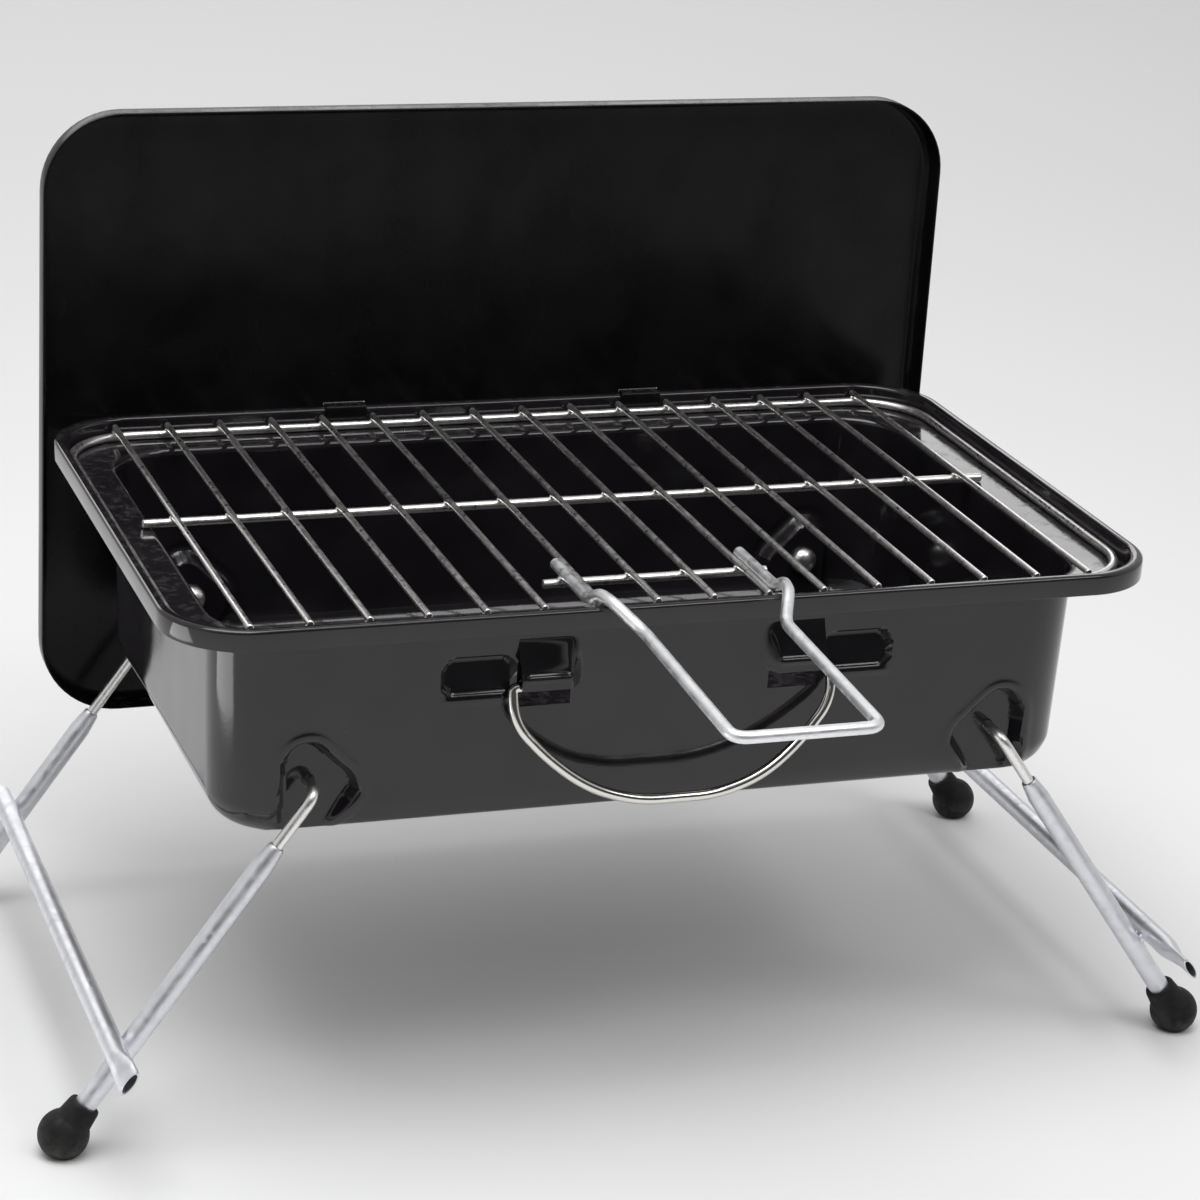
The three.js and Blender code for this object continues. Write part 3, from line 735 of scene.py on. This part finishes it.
def make_rivet(node):
    """Pan-head rivet, its head behind the lid's plate."""
    low, high = (Vector(c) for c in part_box(node))
    centre = (low + high) / 2
    head = (high.x - low.x) / 2
    length = high.y - low.y
    shank, deep = 1.7 * MM, 1.8 * MM
    turns = np.linspace(0, 1.35, 8)
    crown = [(head * math.sin(a), length - deep * (1 - math.cos(a))) for a in turns]
    profile = [(0, 0), (shank - 0.4 * MM, 0), (shank, 0.3 * MM), (shank, length - deep)]
    profile += [(head, length - deep)] + crown[::-1]
    place = Matrix.Translation((centre.x, low.y, centre.z)) @ Matrix.Rotation(-math.pi / 2, 4, "X")
    vertices, faces = turned_mesh(profile, place, 28)
    make(node.replace("lid_", "lid_head_"), vertices, faces, TUBE_ZINC, "lid", replaces=[node])


make_lid()
for name in SIDES.values():
    make_hook(name)
    for number in (1, 2):
        make_rivet(f"lid_rivet_{name}_{number}")


# ---------------------------------------------------------------- grate
def wire_along(node, axis, piece_name):
    """A straight wire in the place of a node that lies along an axis."""
    low, high = (Vector(c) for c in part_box(node))
    centre = (low + high) / 2
    start, end = centre.copy(), centre.copy()
    start[axis], end[axis] = low[axis], high[axis]
    thick = high[2] - low[2]
    line = [start.lerp(end, t) for t in np.linspace(0, 1, 13)]
    rod(piece_name, line, thick, WIRE_CHROME, "grate", [node], 18)


def make_frame():
    size = extent("grate_frame")
    wire = size.z / 2
    points = rounded_ring(size.x - 2 * wire, size.y - 2 * wire, FRAME_CORNER, 24, 16, 14)
    line = [Vector((x, y + GRATE.y, FRAME_Z)) for x, y in points]
    vertices, faces = tube_mesh(line, wire, 20, closed=True)
    make("frame_loop", vertices, faces, WIRE_CHROME, "grate", replaces=["grate_frame"])


def make_grate_welds():
    """A nugget at every crossing of a cross wire, and larger ones under the lifting handle."""
    crossings = [middle(f"grate_wire_{i:02d}").x for i in CROSS_WIRES]
    frame_wire = extent("grate_frame").z
    cross_wire = extent("grate_wire_01").z
    front_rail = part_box("grate_frame")[0][1] + frame_wire / 2
    rear_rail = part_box("grate_frame")[1][1] - frame_wire / 2
    bar_y, handle_bar_y = middle("grate_centre_bar").y, middle("grate_handle_bar").y
    weld_z = (GRATE.z - cross_wire / 2 + FRAME_Z + frame_wire / 2) / 2
    nugget = (1.9 * MM, 1.5 * MM, 1.0 * MM)
    welds = [((x, y, weld_z), nugget) for x in crossings for y in (front_rail, rear_rail, bar_y)]
    welds += [((x, handle_bar_y, weld_z), nugget) for x in crossings if abs(x) < 50 * MM]
    lifter_weld = (2.6 * MM, 2.2 * MM, 1.2 * MM)
    for x in (-LIFTER_X, LIFTER_X):
        welds += [((x, y, FRAME_Z + 2.1 * MM), lifter_weld) for y in (front_rail, handle_bar_y)]
    beads("grate_welds", welds, WIRE_CHROME, "grate")


def make_lifter():
    """Lifting handle: over the front rail, up over the pan's lip and out to the front."""
    low, high = (Vector(c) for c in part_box("grate_handle"))
    resting = FRAME_Z + 2 * MM + PLAY + LIFTER_WIRE / 2
    over = LIP_TOP + 1 * MM + LIFTER_WIRE / 2
    lip = PAN_LOW.y
    front = low.y + LIFTER_WIRE / 2
    half = [
        (LIFTER_X, high.y, resting),
        (LIFTER_X, lip + 19 * MM, resting),
        (LIFTER_X - 1 * MM, lip + 7 * MM, over),
        (LIFTER_X - 3 * MM, lip - 3 * MM, over),
        (LIFTER_X - 11 * MM, GRATE.y - 167 * MM, GRATE.z),
        (LIFTER_X - 11 * MM, front, GRATE.z - 4.5 * MM),
    ]
    corners = half + [(-x, y, z) for x, y, z in half[::-1]]
    reaches = [r * MM for r in (3, 3, 3, 5, 7, 7, 5, 3, 3, 3)]
    line = bent(corners, reaches)
    node = "grate_handle"
    rod("lifting_loop", line, LIFTER_WIRE, WHITE_ZINC, "grate", [node], chamfer=0.6 * MM)


make_frame()
for i in CROSS_WIRES:
    wire_along(f"grate_wire_{i:02d}", 1, f"cross_wire_{i:02d}")
wire_along("grate_centre_bar", 0, "stiffening_bar")
wire_along("grate_handle_bar", 0, "short_bar")
make_grate_welds()
make_lifter()


# ---------------------------------------------------------------- carrying bail
def make_bail():
    """Sprung wire hanging from its two ends in the straps, drawn upright and then tilted."""
    half = [(47, 0), (72, 0), (72, -15), (56, -33), (38, -46), (17, -52)]
    corners = [(x * MM, z * MM) for x, z in half]
    corners += [(-x, z) for x, z in corners[::-1]]
    out, down = math.sin(BAIL_TILT), math.cos(BAIL_TILT)
    spots = [BAIL_AXIS + Vector((x, z * out, z * down)) for x, z in corners]
    reaches = [r * MM for r in (2.5, 9, 11, 11, 9, 9, 11, 11, 9, 2.5)]
    line = bent(spots, reaches, 10)
    rod("bail_wire", line, BAIL_WIRE, BAIL_CHROME, "bail", ["carry_handle"])


make_bail()


# ---------------------------------------------------------------- folding leg frames
def make_leg_wire(place, label, body, face, cap_y, top):
    """Wire from its cap inside the pan out through the recess, and down into the tube."""
    reach = face * LEG_Y
    spots = [(0, face * (cap_y - 4 * MM), 0), (0, reach, 0), (0, reach, top - 21 * MM)]
    line = [place @ p for p in bent(spots, [8 * MM], 12)]
    rod(f"swivel_wire_{label}", line, LEG_WIRE, WIRE_CHROME, body, [f"leg_wire_{label}"])


def make_leg_tube(at, label, body, top):
    """Tube swaged down to the wire at its upper end."""
    r, bore, deep = LEG_TUBE / 2, LEG_WIRE / 2 + PLAY, top - 22 * MM
    profile = [(0, -TUBE_END), (r, -TUBE_END), (r, top - 9 * MM), (r - 0.25 * MM, top - 8 * MM)]
    profile += [(r - 0.9 * MM, top - 2.5 * MM), (r - 1.2 * MM, top - 0.5 * MM), (r - 1.5 * MM, top)]
    profile += [(bore, top), (bore, deep), (0, deep)]
    vertices, faces = turned_mesh(profile, at, 32)
    make(f"swaged_tube_{label}", vertices, faces, TUBE_ZINC, body, 28, [f"leg_tube_{label}"])


def make_foot(at, label, body):
    """Ball foot with a short neck, worn flat where it stands on the ground."""
    r = LEG_TUBE / 2
    mouth = FOOT_RADIUS - 1 * MM - FOOT_AT + 6 * MM
    sleeve, seat = r + PLAY, -TUBE_END - PLAY
    turns = np.linspace(0, 2.35, 22)
    bulb = [(FOOT_RADIUS * math.sin(a), -FOOT_AT - FOOT_RADIUS * math.cos(a)) for a in turns]
    neck = [(r + 2.3 * MM, mouth - 1.4 * MM), (r + 1.9 * MM, mouth - 0.3 * MM), (r + 1.3 * MM, mouth)]
    profile = bulb + neck + [(sleeve, mouth - 0.3 * MM), (sleeve, seat), (0, seat)]
    vertices, faces = turned_mesh(profile, at, 40)
    vertices = [Vector((v.x, v.y, max(v.z, 0))) for v in vertices]
    make(f"rubber_foot_{label}", vertices, faces, FOOT_RUBBER, body, 50, [f"leg_foot_{label}"])


def make_cap(place, label, body, face, cap_y):
    """Domed cap pushed on to the wire's end, inside the pan's wall."""
    bore, r, rim, deep = LEG_WIRE / 2 + PLAY, CAP_RADIUS, 1.2 * MM, 4.3 * MM
    turns = np.linspace(0, math.pi / 2, 10)
    dome = [(r * math.cos(a), rim + 4.8 * MM * math.sin(a)) for a in turns]
    profile = [(0, deep), (bore, deep), (bore, 0), (r - 0.3 * MM, 0), (r, 0.4 * MM)] + dome
    turn = Matrix.Translation((0, face * cap_y, 0)) @ Matrix.Rotation(face * math.pi / 2, 4, "X")
    vertices, faces = turned_mesh(profile, place @ turn, 36)
    make(f"push_cap_{label}", vertices, faces, WIRE_CHROME, body, 30, [f"leg_cap_{label}"])


def make_leg(side, face):
    body = f"{SIDES[side]}_legs"
    label = f"{FACES[face]}_{SIDES[side]}"
    place = Matrix.Translation(PIVOT[side]) @ Matrix.Rotation(-side * LEG_SPLAY, 4, "Y")
    at = place @ Matrix.Translation((0, face * LEG_Y, 0))
    cap_y = wall_y(PIVOT[side].z) - RECESS_DEPTH - SHEET - PLAY
    top = -TUBE_START[face]
    make_leg_wire(place, label, body, face, cap_y, top)
    make_leg_tube(at, label, body, top)
    make_foot(at, label, body)
    make_cap(place, label, body, face, cap_y)


def make_rail(side):
    """Cross rail of one leg frame: a tube flattened at its front end and welded to both legs."""
    body = f"{SIDES[side]}_legs"
    node = f"cross_rail_{SIDES[side]}"
    low, high = (Vector(c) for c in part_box(node))
    centre = (low + high) / 2
    length = high.y - low.y
    r, wall, deep = LEG_TUBE / 2, 1.0 * MM, 14 * MM
    end = [(0, deep), (r - wall, deep), (r - wall, 0.2 * MM), (r - wall / 2, 0), (r, 0.3 * MM)]
    flat_to, flat_from = 8 * MM, 24 * MM  # from the rail's front end
    between = [(r, z) for z in np.linspace(1 * MM, flat_from, 14)]
    profile = end + between + [(x, length - z) for x, z in end[::-1]]
    vertices, faces = turned_mesh(profile, Matrix.Identity(4), 32)
    lean = Matrix.Rotation(-side * LEG_SPLAY, 4, "Y")
    for v in vertices:
        squeeze = float(smooth(flat_from - v.z, flat_from - flat_to))
        v.x *= 1 - 0.58 * squeeze
        v.y *= 1 + 0.28 * squeeze
    laid = lean @ Matrix.Rotation(-math.pi / 2, 4, "X")
    laid = Matrix.Translation((centre.x, low.y, centre.z)) @ laid
    vertices = [laid @ v for v in vertices]
    make(f"rail_tube_{SIDES[side]}", vertices, faces, TUBE_ZINC, body, 40, [node])

    place = Matrix.Translation(PIVOT[side]) @ lean
    apart = (LEG_TUBE + PLAY) / 2
    spots = []
    for face in FACES:
        for away in (-1, 1):
            spot = place @ Vector((side * apart, face * LEG_Y + away * 2.4 * MM, -RAIL_AT))
            spots.append((spot, (1.7 * MM, 2.0 * MM, 2.6 * MM)))
    beads(f"rail_welds_{SIDES[side]}", spots, TUBE_ZINC, body)


for side in SIDES:
    for face in FACES:
        make_leg(side, face)
    make_rail(side)


# ---------------------------------------------------------------- floor, light and camera
def area_light(name, spot, target, size, power):
    """A soft box at spot that faces target; size in metres, power in watts."""
    light = bpy.data.lights.new(name, "AREA")
    light.shape, light.size, light.size_y = "RECTANGLE", size[0], size[1]
    light.energy = power
    lamp = bpy.data.objects.new(name, light)
    bpy.context.collection.objects.link(lamp)
    lamp.location = spot
    lamp.visible_camera = False
    lamp.rotation_euler = (Vector(target) - Vector(spot)).to_track_quat("-Z", "Y").to_euler()


def make_floor():
    mesh = bpy.data.meshes.new("studio_floor")
    far = 14
    corners = [(-far, -far, 0), (far, -far, 0), (far, far, 0), (-far, far, 0)]
    mesh.from_pydata(corners, [], [(0, 1, 2, 3)])
    floor = bpy.data.objects.new("studio_floor", mesh)
    bpy.context.collection.objects.link(floor)
    material, shader = new_material("pale_floor", 0.6, specular=0.2)
    shader.inputs["Base Color"].default_value = (0.80, 0.80, 0.80, 1)
    mesh.materials.append(material)


def make_camera():
    """The camera stands in front, to the left and above, and is rolled a little."""
    yaw, pitch, roll = (math.radians(a) for a in (20.30, 20.34, 3.55))
    turn = Matrix.Rotation(-yaw, 4, "Z") @ Matrix.Rotation(math.pi / 2 - pitch, 4, "X")
    data = bpy.data.cameras.new("camera")
    data.sensor_width, data.lens = 36, 105.49
    data.clip_start, data.clip_end = 0.05, 60
    camera = bpy.data.objects.new("camera", data)
    bpy.context.collection.objects.link(camera)
    stand = GRATE + Vector((-0.51372, -1.41688, 0.50972))
    camera.matrix_world = Matrix.Translation(stand) @ turn @ Matrix.Rotation(roll, 4, "Z")
    bpy.context.scene.camera = camera


def make_world():
    """Even pale light from everywhere, apart from the unlit side of the studio in front.

    The gloss enamel and the chrome mirror that side; looked at directly, the world is even.
    """
    pale, darker = 0.58, 0.52
    world = bpy.data.worlds.new("studio")
    world.use_nodes = True
    g = Graph(world)
    way = g.tree.nodes.new("ShaderNodeSeparateXYZ")
    g.link(g.tree.nodes.new("ShaderNodeTexCoord").outputs["Generated"], way.inputs[0])
    front = g.ramp(way.outputs["Y"], -0.75, -0.35, 1, 0)
    above = g.ramp(way.outputs["Z"], -0.08, 0.02)
    band = g.math("MULTIPLY", above, g.ramp(way.outputs["Z"], 0.62, 0.8, 1, 0))
    unlit = g.math("MULTIPLY", g.math("MULTIPLY", front, band), darker)
    seen = g.tree.nodes.new("ShaderNodeLightPath").outputs["Is Camera Ray"]
    hidden = g.math("MULTIPLY", unlit, g.math("SUBTRACT", 1, seen))
    background = g.tree.nodes["Background"]
    background.inputs["Color"].default_value = (1, 1, 1, 1)
    g.link(g.math("SUBTRACT", pale, hidden), background.inputs["Strength"])
    bpy.context.scene.world = world


make_floor()
make_camera()
area_light("overhead", (-0.35, -0.25, 1.9), (0, 0.05, 0.2), (1.5, 1.1), 26)
area_light("left_reflector", (-0.62, 0.05, 0.01), (-0.45, 0.05, 1), (0.30, 0.80), 2.4)
area_light("back_strip", (0.2, 3.0, 1.5), (0, 0, 0.3), (3.4, 0.7), 16)
area_light("front_fill", (1.1, -1.5, 2.3), (0, 0, 0.15), (1.0, 0.8), 11)
make_world()
bpy.context.scene.view_settings.view_transform = "Standard"

bpy.context.view_layer.update()
